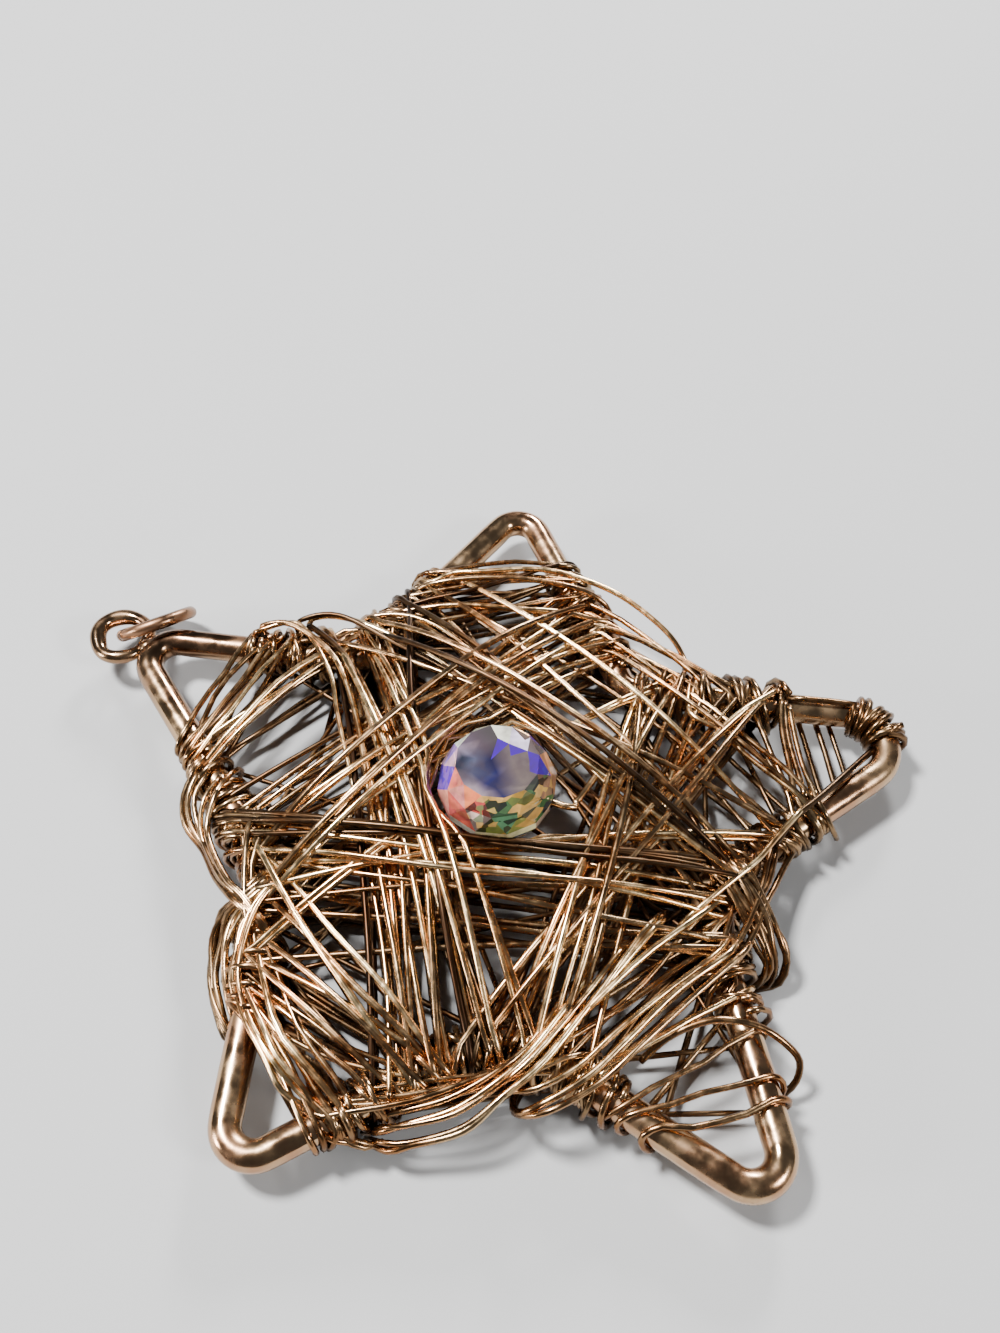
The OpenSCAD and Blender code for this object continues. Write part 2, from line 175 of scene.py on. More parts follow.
# Loose wires laid over the net: places in millimetres, and the finish
LOOSE = [
    # from the looped tip's side, down over the front
    ([(-13.1, 10.9, 3.7), (-11.3, 10.7, 4.1), (-8.8, 8.4, 4.5), (-7.5, 5.6, 4.7), (-6.4, 1.6, 4.9),
      (-5.2, -2.7, 4.9), (-4, -7.1, 4.6), (-2.9, -12.5, 4.1), (-2.2, -15.2, 3.6)], 0.5),
    ([(-10.2, 11.3, 3.8), (-8.2, 11.1, 4.2), (-4.8, 9.3, 4.5), (-1.3, 6.5, 4.9), (2.6, 3, 5.3),
      (6.3, 0, 5.3), (10.4, -3.4, 4.8), (13.3, -5.6, 4)], 0.8),
    ([(-13.5, 10.5, 3.6), (-11.6, 10.9, 4), (-10.4, 10.2, 4.2), (-8.7, 7, 4.4), (-8.1, 4.3, 4.5),
      (-7, 0, 4.5), (-5.6, -5.8, 4.3), (-4.6, -11, 3.9), (-4.2, -16.6, 3.6)], 0.7),
    ([(-7, 11.5, 3.6), (-5.1, 11.5, 4), (-3, 10.6, 4.3), (-0.9, 8.6, 4.6), (2.1, 5.5, 4.9),
      (4.3, 2.2, 5.2), (7.4, -1.4, 5), (11.4, -4.5, 4)], 0.55),
    ([(-10.3, 10.8, 3.8), (-7.9, 8.1, 4.5), (-6.6, 5, 4.7), (-5.7, 2.6, 4.8), (-4.3, -1.5, 4.9),
      (-2, -7.1, 4.8), (0, -12.6, 4)], 0.03),
    ([(-10.9, 11.1, 3.9), (-8.5, 11.2, 4.3), (-4.8, 8.8, 4.6), (-0.9, 6, 5.1), (3.2, 2.8, 5.4),
      (7.4, -0.6, 5.4), (11.4, -4, 4.6), (13, -6.6, 3.6)], 0.02),
    # from side to side in front of the crystal
    ([(-13.4, -2.6, 2.8), (-12.6, -2.7, 3.5), (-11.3, -3.1, 4.2), (-6.6, -3.6, 5.3), (-2.7, -4, 5.9),
      (1.6, -4.8, 6.1), (5, -5.2, 5.9), (8.4, -5.4, 5.6), (11.8, -5.6, 4.9), (15, -5.4, 3.2)], 0.02),
    # across the base of the far tip, and clear of it on the right
    ([(-4.6, 14.3, 2.4), (-3.3, 14.1, 3.6), (-0.5, 14.2, 4.1), (2.8, 14, 4.2), (5.8, 13.4, 4),
      (7.4, 12.8, 3.2), (7.8, 12.4, 2), (7.6, 12.7, 1)], 0.55),
    ([(-3.1, 14.4, 3.5), (-1.9, 14.9, 3.7), (0, 14.8, 4), (3.3, 14.8, 4.2), (5.8, 14.1, 4.2),
      (8.4, 12.7, 4.1), (10.8, 10.5, 3.7), (11.8, 9, 3.1), (11.9, 8.5, 2.3), (11.5, 8.1, 1.2)], 0.9),
    # across the right tip, and along its near side
    ([(11.7, 4.6, 4), (13.4, 3.4, 3.9), (14.5, 2, 3.8), (16, 0.6, 3.7), (17.3, -0.7, 3.6)], 0.95),
    ([(17.1, 5.8, 3.4), (16.9, 3.8, 3.4), (17, 1.5, 3.4), (17.1, -0.6, 3.5)], 0.25),
    ([(17.3, 5.7, 3.4), (17.2, 3.5, 3.3), (17.4, 1.4, 3.3), (17.6, -0.5, 3.4)], 0.4),
    ([(17.5, 5.4, 3.4), (17.6, 3.1, 3.3), (17.8, 1.3, 3.3), (18.2, -0.3, 3.4)], 0.8),
    ([(18.5, 5.9, 1.1), (18.8, 3.9, 1), (19.1, 1.4, 1), (19.4, 0.1, 1)], 1),
    ([(19.5, 5.7, 1.1), (19.8, 3.8, 1), (20, 1.8, 1), (20.2, 0.4, 1)], 1),
    ([(20.2, 5.9, 1.1), (20.5, 4, 1), (20.7, 2.4, 1), (20.8, 0.7, 1)], 1),
    ([(22.3, 3.3, 2.2), (20.9, 1.9, 2.8), (19.6, 0.6, 3.3), (18.2, -0.7, 3.6), (16.9, -1.8, 3.8),
      (16.1, -2.7, 3.7), (15.6, -3.3, 3.2)], 0.04),
    ([(17.4, -1.2, 3.3), (17, -1.7, 3.9), (15.6, -3.2, 4), (14.4, -4.6, 4.2), (13.2, -5.6, 4.2),
      (11.8, -6.7, 4.1), (10.6, -7.6, 3.7), (9.9, -8.2, 2.8)], 1),
    ([(17.9, 1, 3.2), (18.1, -0.5, 3.5), (18.5, -1.4, 3.4), (19, -2, 2.6), (19.4, -2.2, 1.8)], 0.4),
    ([(17, 6.5, 3.4), (15, 5, 3.9), (13.3, 3.4, 4.1), (12.2, 2, 4.2), (11.1, 0.4, 4.3),
      (9.7, -1.5, 4.3), (8.6, -3.1, 2.9)], 1),
    # past the near right arm
    ([(7.8, -14.6, 2.6), (9.1, -13.7, 3.4), (10.7, -13.1, 3.8), (12.1, -13, 3.9), (13.7, -13.3, 3.6),
      (14.9, -13.9, 3), (15.6, -14.5, 2.3), (15.5, -15.2, 1.5), (15, -15.6, 0.9), (14.1, -15.9, 0.6)], 0.45),
]
# Loose wires side by side: the outermost and the innermost, how many there are, and the finish
FANS = [
    # over the right notch and down past the near right arm, and back over it
    ([(13.2, -3.8, 2.9), (13.9, -4.9, 4), (14.5, -6.1, 3.7), (15, -7.4, 3.1), (15.5, -8.5, 2.5),
      (15.7, -9.3, 1.9), (15.3, -10, 1.1), (13.9, -10.3, 0.7)],
     [(10.8, -3.4, 2.9), (11.6, -4.9, 4), (12.6, -6.5, 4), (13.5, -8, 3.7), (14, -9.1, 3.1),
      (14.3, -9.8, 2.3), (13.9, -10.3, 1.4), (12.8, -10.4, 0.8)], 8, 0.35),
    ([(17.2, -2.8, 2.2), (16.1, -4.3, 2.6), (15.4, -5.6, 2.9), (14.7, -6.9, 3.3), (13.7, -8.5, 3.6),
      (12.7, -9.9, 3.6), (12.1, -10.7, 2.7)],
     [(15.8, -2.6, 2.8), (15.1, -4, 3.4), (14.6, -5.4, 3.6), (13.9, -6.9, 3.7), (13.1, -8.4, 3.7),
      (12.3, -9.7, 3.5), (11.7, -10.4, 2.7)], 4, 0.4),
    # into the left notch from the looped tip's side, and out of it round the near left arm
    ([(-15.9, 1.6, 3.2), (-16.6, 0.1, 2.6), (-16.2, -1.5, 2.1), (-15.1, -3.1, 2.2), (-13.9, -4.9, 2.8),
      (-12.6, -6.6, 3.6), (-11.4, -7.8, 3.7), (-10.5, -8.8, 3)],
     [(-14.3, 0.6, 3.4), (-14.5, -0.7, 3.4), (-14.8, -2.3, 3.1), (-14, -4, 3.3), (-13.1, -5.5, 3.6),
      (-12.2, -6.6, 3.8), (-11.1, -7.7, 3.8), (-10.2, -8.6, 3.2)], 5, 0.6),
    ([(-10.8, -4.9, 3.4), (-11.6, -5.6, 3.9), (-12.6, -6.4, 3.6), (-13.6, -6.9, 2.9), (-14, -8.1, 2.3),
      (-13.9, -9.9, 2), (-13.5, -11.5, 2), (-12.7, -13.1, 1.8), (-12, -13.3, 1.1)],
     [(-9.8, -5.3, 3.6), (-10.5, -6.1, 4), (-11.3, -7, 4), (-11.8, -8.2, 3.9), (-12, -9.6, 3.7),
      (-11.9, -11, 3.4), (-11.4, -12.3, 3.1), (-11, -12.9, 2.5), (-10.7, -13.3, 1.6)], 9, 0.7),
    # off the near left arm and round under the near edge
    ([(-12.6, -10.6, 2.8), (-11.5, -13, 3.5), (-10.2, -14.7, 3.6), (-9.2, -16.1, 3.4), (-8.1, -17.1, 3),
      (-7.1, -18, 2.5), (-6, -18.4, 1.9), (-5.1, -18.2, 1.1)],
     [(-11.9, -10.9, 3.2), (-10.7, -13, 3.8), (-9.4, -14.7, 3.9), (-8.2, -16.1, 3.7), (-7.1, -17.2, 3.2),
      (-6.1, -18, 2.5), (-4.9, -18.3, 1.8), (-4.2, -18, 1.1)], 3, 0.8),
    # along the near edge and up over the front
    ([(-5.4, -18, 0.9), (-4.4, -18.5, 1.8), (-3.2, -18.5, 2.3), (-0.8, -18, 3.1), (1.1, -16.8, 3.7),
      (3, -15.2, 4), (5.6, -12.2, 4.4), (8.6, -8.4, 4.5), (9.6, -7.1, 2.9)],
     [(-5.6, -17.2, 1.2), (-4.8, -17.3, 2.6), (-3.6, -17, 3.2), (-1.4, -16.5, 3.6), (0.6, -15.5, 3.9),
      (2.2, -14.2, 4), (3.6, -12.7, 4), (4.3, -11.6, 3.5), (4.6, -10.9, 2.5)], 5, 0.8),
    # from the near right arm down over the near notch, and back under its arm
    ([(13.6, -8.8, 3.4), (13, -9.7, 4.3), (10.4, -11.9, 4.5), (7.6, -14.3, 4.4), (5.5, -16.1, 4.2),
      (3.1, -17.2, 3.9), (2, -17.2, 3), (1.7, -16.5, 2), (2.4, -15.2, 1.1), (3.3, -14.2, 0.8)],
     [(12.6, -8.4, 3.4), (11.8, -9.7, 4.2), (9.2, -11.7, 4.3), (6.6, -13.8, 4.2), (4.7, -15.3, 4),
      (2.6, -16.2, 3.7), (1.5, -16.2, 3), (1.4, -15.6, 2), (2.2, -14.8, 1.1), (3.2, -13.8, 0.8)], 3, 0.8),
]


# The star's middle line


def unit(v):
    return v / np.linalg.norm(v)


def turned(v):
    return np.array([-v[1], v[0]])


def flat_way(angle):
    """The level direction at an angle from the right."""
    return np.array([math.cos(angle), math.sin(angle), 0.0])


def any_phase(rng):
    return rng.uniform(0, 6.28)


def corner(i):
    return np.array(CORNERS[i % len(CORNERS)][:2], float)


def arm_dir(i):
    return unit(corner(i + 1) - corner(i))


def turn_place(arm, turn):
    """Where a turn sits on an arm, counted from the notch that the arm ends at."""
    away = (turn + FIRST_TURN) * TURN_PITCH
    if arm % 2 == 0:
        return corner(arm + 1) - arm_dir(arm) * away
    return corner(arm) + arm_dir(arm) * away


def bend(i):
    """Points round the bend at a corner."""
    before, after = arm_dir(i - 1), arm_dir(i)
    angle = math.atan2(turned(before) @ after, before @ after)
    r = math.copysign(CORNERS[i % len(CORNERS)][2], angle)
    start = corner(i) - before * r * math.tan(angle / 2)
    a = np.linspace(0, angle, BEND_STEPS + 1)[:, None]
    return list(start + turned(before) * r * (1 - np.cos(a)) + before * r * np.sin(a))


def star_line(spacing):
    """Points along the whole middle line, and whether each lies in a bend."""
    points, bent = [], []
    for i in range(len(CORNERS)):
        curve = bend(i)
        points += curve
        bent += [True] * len(curve)
        gap = bend(i + 1)[0] - curve[-1]
        steps = max(2, int(np.linalg.norm(gap) / spacing))
        points += [curve[-1] + gap * k / steps for k in range(1, steps)]
        bent += [False] * (steps - 1)
    return np.array(points), np.array(bent)


# Drawn wire


def tangents(path, closed):
    if closed:
        d = np.roll(path, -1, axis=0) - np.roll(path, 1, axis=0)
    else:
        d = np.empty_like(path)
        d[1:-1] = path[2:] - path[:-2]
        d[0], d[-1] = path[1] - path[0], path[-1] - path[-2]
    return d / np.maximum(np.linalg.norm(d, axis=1), 1e-9)[:, None]


def carried_sides(t):
    """A vector square to each tangent, carried along the path without twist."""
    side = np.cross(UP, t[0]) if abs(t[0][2]) < 0.9 else np.cross([1.0, 0, 0], t[0])
    out = []
    for tangent in t:
        side = unit(side - (side @ tangent) * tangent)
        out.append(side)
    return np.array(out)


def draw_wire(path, radius, sides, closed=False):
    """Points and faces of a round wire along a path. Its radius is one number or one a point."""
    path = np.asarray(path, float)
    t = tangents(path, closed)
    side = carried_sides(t)
    other = np.cross(t, side)
    n = len(path)
    r = np.broadcast_to(np.asarray(radius, float), (n,))
    a = np.arange(sides) * 2 * np.pi / sides
    ring = (np.cos(a)[None, :, None] * side[:, None, :]
            + np.sin(a)[None, :, None] * other[:, None, :])
    points = (path[:, None, :] + r[:, None, None] * ring).reshape(-1, 3)
    rows = np.arange(n if closed else n - 1)
    cols = np.arange(sides)
    k, j = np.meshgrid(rows, cols, indexing="ij")
    here, after = k * sides, (k + 1) % n * sides
    faces = np.stack([here + j, here + (j + 1) % sides, after + (j + 1) % sides, after + j],
                     axis=-1).reshape(-1, 4).tolist()
    if not closed:
        faces.append(list(range(sides))[::-1])
        faces.append(list(range((n - 1) * sides, n * sides)))
    return points, faces


def smooth_path(points, step):
    """A curve through hand-set points, with a point about every step."""
    p = [np.asarray(q, float) for q in points]
    p = [2 * p[0] - p[1]] + p + [2 * p[-1] - p[-2]]
    out = []
    for a, b, c, d in zip(p, p[1:], p[2:], p[3:]):
        n = max(1, int(round(np.linalg.norm(c - b) / step)))
        for k in range(n):
            s = k / n
            out.append(0.5 * (2 * b + (c - a) * s + (2 * a - 5 * b + 4 * c - d) * s * s
                              + (3 * b - a - 3 * c + d) * s ** 3))
    out.append(p[-2])
    return np.array(out)


def round_path(centre, across, up, r, a):
    """Points at the angles a of a circle round centre, in the plane of across and up."""
    return centre + np.outer(r * np.cos(a), across) + np.outer(r * np.sin(a), up)


class Stock:
    """Points, faces and a shade value a point (a finish, with painted shade on the fine wire), gathered
    before a piece is made.
    """

    def __init__(self):
        self.points, self.faces, self.shade, self.count = [], [], [], 0

    def wire(self, path, radius, sides, shade, closed=False):
        points, faces = draw_wire(path, radius, sides, closed)
        self.points.append(points)
        self.faces.extend([[i + self.count for i in f] for f in faces])
        self.shade.append(np.repeat(np.broadcast_to(shade, (len(path),)), sides))
        self.count += len(points)


def placed(name, data):
    """A new object in the scene."""
    made = bpy.data.objects.new(name, data)
    bpy.context.scene.collection.objects.link(made)
    return made


def hand_over(piece, slot, *solids):
    """Puts a piece on the root body, and hides the solids that it stands for. Its slot is not used."""
    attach(piece, "root")
    if solids:
        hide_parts(*solids)


def make_piece(name, stock, material, slot, *solids):
    mesh = bpy.data.meshes.new(name)
    mesh.from_pydata(np.concatenate(stock.points) * MM, [], stock.faces)
    mesh.update()
    mesh.polygons.foreach_set("use_smooth", [True] * len(mesh.polygons))
    shade = mesh.attributes.new("shade", "FLOAT", "POINT")
    shade.data.foreach_set("value", np.concatenate(stock.shade).astype(np.float32))
    mesh.materials.append(material)
    hand_over(placed(name, mesh), slot, *solids)


# Finishes


def dial(node, values):
    """Sets values on a node's own sockets."""
    for socket, value in values.items():
        node.inputs[socket].default_value = value


class Finish:
    """A node material under construction."""

    def __init__(self, name):
        self.material = bpy.data.materials.new(name)
        self.material.use_nodes = True
        self.tree = self.material.node_tree
        self.shader = self.tree.nodes["Principled BSDF"]
        self.place = self.node("ShaderNodeTexCoord").outputs["Object"]

    def node(self, kind, **settings):
        made = self.tree.nodes.new(kind)
        for key, value in settings.items():
            setattr(made, key, value)
        return made

    def join(self, source, target):
        self.tree.links.new(source, target)

    def noise(self, scale, detail=3.0, roughness=0.5):
        made = self.node("ShaderNodeTexNoise")
        dial(made, {"Scale": scale, "Detail": detail, "Roughness": roughness})
        self.join(self.place, made.inputs["Vector"])
        return made.outputs["Fac"]

    def shade(self):
        """The shade value that each point of a wire has: its finish, which on the fine wire carries painted
        shade too.
        """
        return self.node("ShaderNodeAttribute", attribute_name="shade").outputs["Fac"]

    def ramp(self, value, stops):
        made = self.node("ShaderNodeValToRGB")
        row = made.color_ramp.elements
        while len(row) < len(stops):
            row.new(0.5)
        for element, (at, colour) in zip(row, stops):
            element.position = at
            element.color = (*colour, 1.0)
        self.join(value, made.inputs["Fac"])
        return made.outputs["Color"]

    def spread(self, value, low, high, to_low, to_high):
        made = self.node("ShaderNodeMapRange")
        dial(made, {"From Min": low, "From Max": high, "To Min": to_low, "To Max": to_high})
        self.join(value, made.inputs["Value"])
        return made.outputs["Result"]

    def mix(self, factor, a, b, blend="MIX"):
        """Two colours mixed. Each is a socket or a plain colour."""
        made = self.node("ShaderNodeMix", data_type="RGBA", blend_type=blend)
        for key, value in (("Factor", factor), (6, a), (7, b)):
            if isinstance(value, tuple):
                made.inputs[key].default_value = (*value, 1.0)
            else:
                self.join(value, made.inputs[key])
        return made.outputs[2]

    def paint(self, socket, source):
        self.join(source, self.shader.inputs[socket])

    def metal(self, dents, strength, depth):
        """Makes it bare metal with small dents."""
        dial(self.shader, {"Metallic": 1.0})
        made = self.node("ShaderNodeBump")
        dial(made, {"Strength": strength, "Distance": depth})
        self.join(dents, made.inputs["Height"])
        self.paint("Normal", made.outputs["Normal"])


def shaded(colour, factor):
    return tuple(min(1.0, c * factor) for c in colour)


def plated_metal(name, bright, copper, tarnish_and_shade, rough_low, rough_high, dents):
    """Rose-gold plate: bright where it is rubbed, redder where it is thin, and brown where its shade is low:
    tarnished in its hollows, painted shade on the jump ring.
    """
    f = Finish(name)
    patches = f.spread(f.noise(420.0, 4.0, 0.6), 0.42, 0.62, 0.0, 1.0)
    colour = f.mix(patches, tuple(bright), tuple(copper))
    # Browns the plate where its shade is low: tarnished on the star, painted shade on the jump ring.
    browned = f.mix(f.spread(f.shade(), 0.0, 0.5, 0.85, 0.0), colour, tuple(tarnish_and_shade))
    specks = f.spread(f.noise(2600.0, 2.0, 0.7), 0.66, 0.78, 0.0, 0.5)
    f.paint("Base Color", f.mix(specks, browned, tuple(tarnish_and_shade)))
    f.paint("Roughness", f.spread(f.noise(900.0), 0.35, 0.65, rough_low, rough_high))
    f.metal(f.noise(650.0, 3.0, 0.55), strength=dents, depth=0.00012)
    return f.material


# Sizes and colours


def length_setting(name, description, default, low, high):
    return FloatProperty(name=name, description=description, default=default, min=low, max=high,
                         unit="LENGTH")


def colour_setting(name, description, default):
    return FloatVectorProperty(name=name, description=description, default=default, size=3,
                               subtype="COLOR", min=0.0, max=1.0)


class PendantFrameSettings(PropertyGroup):
    bend_thinning: length_setting(
        "Thinning at bends", "How much thinner the wire is where it is bent", 0.00004, 0.0, 0.0002)
    waver: length_setting(
        "Waver", "How far the hand-bent arms stray from straight lines", 0.00012, 0.0, 0.0003)
    bright: colour_setting("Plate", "Colour of the plate where it is bright", (0.55, 0.36, 0.20))
    copper: colour_setting("Copper", "Colour where the plate is thin", (0.45, 0.245, 0.135))
    # The colour of tarnished plate, which on the jump ring also gives painted shade
    tarnish_and_shade: colour_setting("Tarnish", "Colour where the metal has darkened", (0.09, 0.045, 0.028))


class PendantNetSettings(PropertyGroup):
    wire: length_setting("Fine wire", "Thickness of the wound wire", 0.00037, 0.0002, 0.0005)
    seed: IntProperty(
        name="Winding", description="Picks another hand-wound net", default=26, min=0)
    bright: colour_setting("Bright", "Colour of the rubbed wire", (0.83, 0.60, 0.32))
    copper: colour_setting("Copper", "Colour of the redder wire", (0.51, 0.32, 0.165))
    # The colour of tarnished wire, which deep in the net is also the painted shade
    tarnish_and_shade: colour_setting("Tarnish", "Colour of the darkened wire", (0.030, 0.016, 0.009))


class PendantCrystalSettings(PropertyGroup):
    facets: IntProperty(
        name="Facets", description="Facets round the crystal", default=12, min=8, max=16)
    table: length_setting("Table", "Width of its flat front", 0.0044, 0.0038, 0.0048)
    drill: length_setting("Drill", "Width of its hole", 0.0009, 0.0007, 0.0012)


class PendantStageSettings(PropertyGroup):
    floor: colour_setting("Floor", "Colour of the floor", (0.33, 0.33, 0.33))


# The star and its rings


class PENDANT_OT_star_frame(Operator):
    """Bend the star from thick wire and solder the ring to its tip"""

    bl_idname = "pendant.star_frame"
    bl_label = "Star frame"

    def execute(self, context):
        s = context.scene.pendant_frame
        rng = random.Random(7)
        path, bent = star_line(spacing=0.45)
        thin = np.where(bent, s.bend_thinning / MM / 2, 0.0)
        n = len(path)
        where = np.arange(n) / n * 2 * np.pi
        stray = sum(math.sin(any_phase(rng)) * np.sin(where * m + any_phase(rng)) / m ** 0.5
                    for m in (11, 17, 23, 31, 43))
        flat = np.hstack([path, np.full((n, 1), FRAME_Z)])
        t = tangents(flat, True)
        outward = np.stack([-t[:, 1], t[:, 0], np.zeros(n)], axis=1)
        flat += outward * (stray * s.waver / MM / 2)[:, None]
        from_worn = np.linalg.norm(flat[:, :2] - WORN_AT, axis=1)
        shade = 0.5 - 0.44 * np.clip(1.3 - from_worn / WORN_REACH, 0, 1)
        stock = Stock()
        stock.wire(flat, FRAME_WIRE / 2 - thin, sides=28, shade=shade, closed=True)
        self.solder_ring(stock)
        material = plated_metal("plated_star_wire", s.bright, s.copper, s.tarnish_and_shade,
                                rough_low=0.12, rough_high=0.32, dents=0.18)
        make_piece("star_frame_metal", stock, material, "frame_metal", "star_frame")
        return {"FINISHED"}

    def solder_ring(self, stock):
        """The flattened ring beyond the tip and the bead of solder that holds it."""
        out = math.radians(RING_HEADING)
        way = flat_way(out)
        apex = np.array([*bend(0)[BEND_STEPS // 2], FRAME_Z])
        centre = apex + way * (RING_RADIUS + (RING_WIRE + FRAME_WIRE) / 2 - RING_SUNK)
        a = out + math.pi + 2 * math.pi * np.arange(72) / 72
        beaten = RING_RADIUS + 0.035 * np.sin(3 * a + 0.6) + 0.02 * np.sin(5 * a)
        ring = round_path(centre, RIGHT, FAR, beaten, a) + np.outer(0.04 * np.sin(3 * a), UP)
        thick = RING_WIRE / 2 * (1 + 0.05 * np.sin(4 * a + 1.0) + 0.14 * np.cos(a - out))
        stock.wire(ring, thick, sides=20, shade=0.2, closed=True)
        joint = centre + unit(apex - centre) * (RING_RADIUS + RING_WIRE / 2)
        d = np.linspace(-0.62, 0.62, 13)
        bead = np.sqrt(np.maximum(0.02, 0.42 - d * d))
        stock.wire(joint - np.outer(d, way), bead, sides=20, shade=0.3)


class PENDANT_OT_jump_ring(Operator):
    """Close the loose jump ring through the soldered one"""

    bl_idname = "pendant.jump_ring"
    bl_label = "Jump ring"

    def execute(self, context):
        s = context.scene.pendant_frame
        low, high = box_mm("jump_ring")
        centre = (low + high) / 2
        wire, r, tip, turn = 0.75, 2.125, math.radians(-50), math.radians(25)
        across = flat_way(turn)
        up = np.cross(UP, across) * math.cos(tip) + UP * math.sin(tip)
        slit = 0.02
        a = math.radians(200) + np.linspace(slit, 2 * math.pi - slit, 97)
        stock = Stock()
        # Painted shade: the ring lies behind the soldered ring, and its low shade browns it.
        stock.wire(round_path(centre, across, up, r, a), wire / 2, sides=20, shade=0.24)
        material = plated_metal("plated_ring_wire", s.copper, shaded(s.copper, 0.7), s.tarnish_and_shade,
                                rough_low=0.16, rough_high=0.4, dents=0.25)
        make_piece("jump_ring_metal", stock, material, "ring_metal", "jump_ring")
        return {"FINISHED"}


# The net


class Net:
    """Winds wires round the arms. Each turn takes the lowest free layer where it lands."""

    def __init__(self, wire, rng):
        self.wire, self.rng = wire, rng
        self.taken = {arm: [] for arm in range(len(CORNERS))}
        self.first_r = FRAME_WIRE / 2 + wire / 2 + 0.03
        self.most_r = FRAME_Z - wire / 2 - 0.06

    def seat(self, arm, turn):
        """How far out a new turn lies from the middle of the arm's wire. Near a tip the heap is low."""
        place = (turn + FIRST_TURN) * TURN_PITCH
        layer = 0
        near = [row for row in self.taken[arm] if abs(row[0] - place) < self.wire * TURN_ROOM]
        while any(row[1] == layer for row in near):
            layer += 1
        self.taken[arm].append((place, layer))
        r = self.first_r + layer * self.wire * LAYER_STEP
        if r > self.most_r:
            r = self.rng.uniform(self.first_r + self.wire, self.most_r)
        heap = min(1.0, max(0.2, 1.05 - turn / 9))
        return self.first_r + (r - self.first_r) * heap

    def half_turn(self, arm, turn, r, coming, leaving):
        """Points over the top of an arm, down its outer side and under it."""
        along = arm_dir(arm)
        side = turned(along)
        if side @ coming < 0:
            side = -side
        lean_top = np.clip((coming @ along) / max(coming @ side, 0.25), -0.9, 0.9)
        lean_low = np.clip((leaving @ along) / max(abs(leaving @ side), 0.25), -0.9, 0.9)
        a = np.linspace(0, math.pi, 9)[:, None]
        lean = (lean_top * (1 + np.cos(a)) - lean_low * (1 - np.cos(a))) / 2
        flat = turn_place(arm, turn) + (side + along * lean) * r * np.sin(a)
        return np.hstack([flat, FRAME_Z + r * np.cos(a)])

    def clear_of_gem(self, p):
        """Moves a point out past the crystal's side where it would run into it."""
        height = abs(p[2] - GEM_AT[2])
        if height > GEM_HALF + self.wire:
            return p
        keep = KEEP_CLEAR - max(0.0, height - GEM_HALF / 2) * 0.7
        away = p[:2] - GEM_AT[:2]
        d = np.linalg.norm(away)
        return p if d >= keep else np.array([*(GEM_AT[:2] + away / max(d, 1e-6) * keep), p[2]])

    def span(self, a, b, za, zb, rise, bow):
        """Points of a stretch over the front from the top of one arm to the top of the next."""
        way = b - a
        across = turned(unit(way))
        n = max(4, int(np.linalg.norm(way) / 1.3))
        wave, phase = self.rng.uniform(-0.12, 0.12), any_phase(self.rng)
        s = np.arange(1, n)[:, None] / n
        lift = 1 - abs(2 * s - 1) ** 2.6
        sway = bow * np.sin(math.pi * s) + wave * np.sin(3 * math.pi * s + phase) * lift
        path = np.hstack([a + way * s + across * sway, FRAME_Z + za + (zb - za) * s + rise * lift])
        return [self.clear_of_gem(p) for p in path]

    def under(self, a, b, ra, rb, lift):
        """Points of the way back under the star."""
        way = b - a
        n = max(2, int(np.linalg.norm(way) / 3.0))
        s = np.arange(1, n)[:, None] / n
        z = FRAME_Z - ra + (ra - rb) * s + lift * (1 - (2 * s - 1) ** 2)
        return np.hstack([a + way * s, np.minimum(z, FRAME_Z - self.first_r)])


def heading(a, b):
    """The way from a to b, or to the right where a wire goes on from the place that it came to."""
    return unit(b - a) if math.dist(a, b) > 1e-6 else RIGHT[:2]


def bundle_wires(rng):
    """The wires of the main lays. Each bundle fans out, and its wires cross on the way."""
    wires = []
    for a_arm, a_turn, b_arm, b_turn, rise, bow, count, fan in LAYS:
        tone = rng.uniform(0.2, 0.75)
        steps = [(k - (count - 1) / 2) * 1.3 for k in range(count)]
        ends = rng.sample(steps, count)
        for step, end in zip(steps, ends):
            wires.append({
                "from": (a_arm, max(-0.6, a_turn + step + rng.uniform(-0.55, 0.55))),
                "to": (b_arm, max(-0.6, b_turn + end * fan + rng.uniform(-0.5, 0.5))),
                "rise": max(0.0, rise + rng.uniform(-0.9, 0.4)),
                "bow": bow + rng.uniform(-0.6, 0.6),
                "shade": min(1.0, max(0.0, tone + rng.uniform(-0.3, 0.3))),
            })
    return wires


def top_wires():
    return [{"from": row[0:2], "to": row[2:4], "rise": row[4], "bow": row[5], "shade": row[6]}
            for row in TOP_WIRES]


def wind(wires, net, rng):
    """The path and shade of every wire, over the front and back under the star to the next."""
    for w in wires:
        w["ra"] = net.seat(*w["from"])
        w["rb"] = net.seat(*w["to"])
        w["a"], w["b"] = turn_place(*w["from"]), turn_place(*w["to"])
    paths = []
    for before, w, after in zip(wires[-1:] + wires[:-1], wires, wires[1:] + wires[:1]):
        a, b, c = w["a"], w["b"], after["a"]
        lead, back, came = heading(a, b), heading(b, c), heading(before["b"], a)
        first = net.half_turn(*w["from"], w["ra"], -lead, -came)[::-1]
        last = net.half_turn(*w["to"], w["rb"], lead, back)
        over = net.span(a, b, w["ra"], w["rb"], w["rise"], w["bow"])
        below = net.under(b, c, w["rb"], after["ra"], rng.uniform(0.0, 0.5))
        foot = np.array([c[0], c[1], FRAME_Z - after["ra"]])
        paths.append((np.array([*first, *over, *last, *below, foot]), w["shade"]))
    return paths


def rubbed(path):
    """Painted shade along a wire's path: the deeper it lies in the net, the darker and duller it is made."""
    deep = np.clip((path[:, 2] - 0.8) / 3.8, 0.0, 1.0)
    return 0.06 + 0.94 * deep ** 1.2


